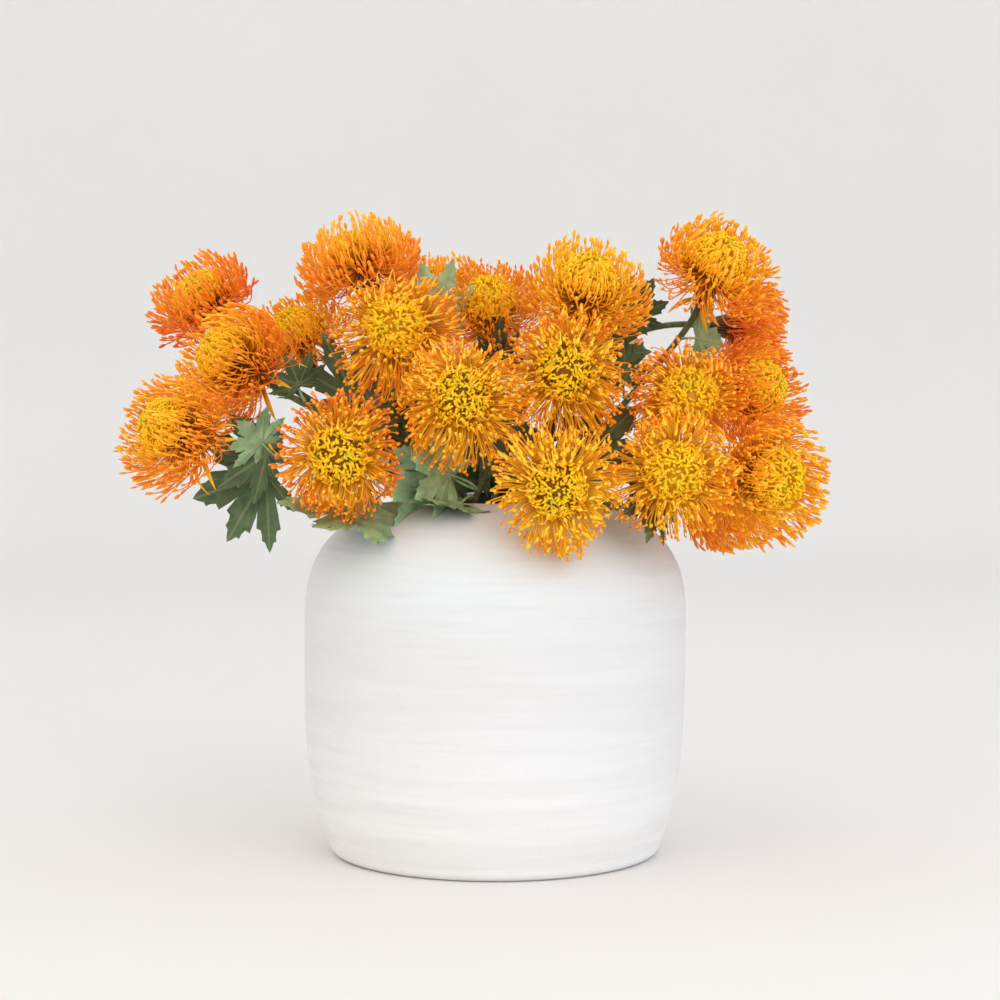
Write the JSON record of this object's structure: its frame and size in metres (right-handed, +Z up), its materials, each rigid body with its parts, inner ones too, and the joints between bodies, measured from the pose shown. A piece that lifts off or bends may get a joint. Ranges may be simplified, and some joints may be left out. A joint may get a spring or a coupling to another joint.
{
  "type": "pincushion protea bouquet in a vase",
  "caption": "Orange and yellow pincushion protea heads with lobed green leaves, arranged in a round-shouldered whitewashed ceramic vase.",
  "frame": {"origin": "centre of the vase's flat underside, on the surface it stands on", "axes": "+Z up, along the vase's axis; +X across the bouquet to the viewer's right; -Y towards the viewer"},
  "size_m": [0.5333, 0.3415, 0.5002],
  "materials": {
    "vase_clay": "matte whitewash with faint throwing lines",
    "flower_styles": "matte orange to yellow styles round a yellow heart",
    "green_stem": "matte brownish green bark",
    "leaf_blade": "matte green leaf, paler underneath"
  },
  "bodies": {
    "root": {"vase": "vase_clay", "head_left_high": "flower_styles", "head_left_middle": "flower_styles", "head_left_low": "flower_styles", "head_left_inner": "flower_styles", "head_top_left": "flower_styles", "head_front_left_high": "flower_styles", "head_front_middle": "flower_styles", "head_front_left_low": "flower_styles", "head_top_middle": "flower_styles", "head_top_right": "flower_styles", "head_front_right_high": "flower_styles", "head_front_rim": "flower_styles", "head_right_high": "flower_styles", "head_right_inner": "flower_styles", "head_right_middle": "flower_styles", "head_front_right_low": "flower_styles", "head_right_low": "flower_styles", "head_back_top_left": "flower_styles", "head_right_under": "flower_styles", "head_right_back": "flower_styles", "head_back_right": "flower_styles", "head_back_left": "flower_styles", "stem_left_high": "green_stem", "stem_left_middle": "green_stem", "stem_left_low": "green_stem", "stem_left_inner": "green_stem", "stem_top_left": "green_stem", "stem_front_left_high": "green_stem", "stem_front_middle": "green_stem", "stem_front_left_low": "green_stem", "stem_top_middle": "green_stem", "stem_top_right": "green_stem", "stem_front_right_high": "green_stem", "stem_front_rim": "green_stem", "stem_right_high": "green_stem", "stem_right_inner": "green_stem", "stem_right_middle": "green_stem", "stem_front_right_low": "green_stem", "stem_right_low": "green_stem", "stem_back_top_left": "green_stem", "stem_right_under": "green_stem", "stem_right_back": "green_stem", "stem_back_right": "green_stem", "stem_back_left": "green_stem", "leaf_left_large": "leaf_blade", "leaf_left_pale": "leaf_blade", "leaf_left_high": "leaf_blade", "leaf_shoulder_left": "leaf_blade", "leaf_mouth_left": "leaf_blade", "leaf_rim_left": "leaf_blade", "leaf_top_left": "leaf_blade", "leaf_top_right": "leaf_blade", "leaf_right_high": "leaf_blade", "leaf_right_inner": "leaf_blade", "leaf_left_inner": "leaf_blade", "leaf_right_low": "leaf_blade", "leaf_shoulder_right": "leaf_blade", "leaf_top_middle": "leaf_blade", "leaf_back": "leaf_blade"}
  },
  "joints": []
}
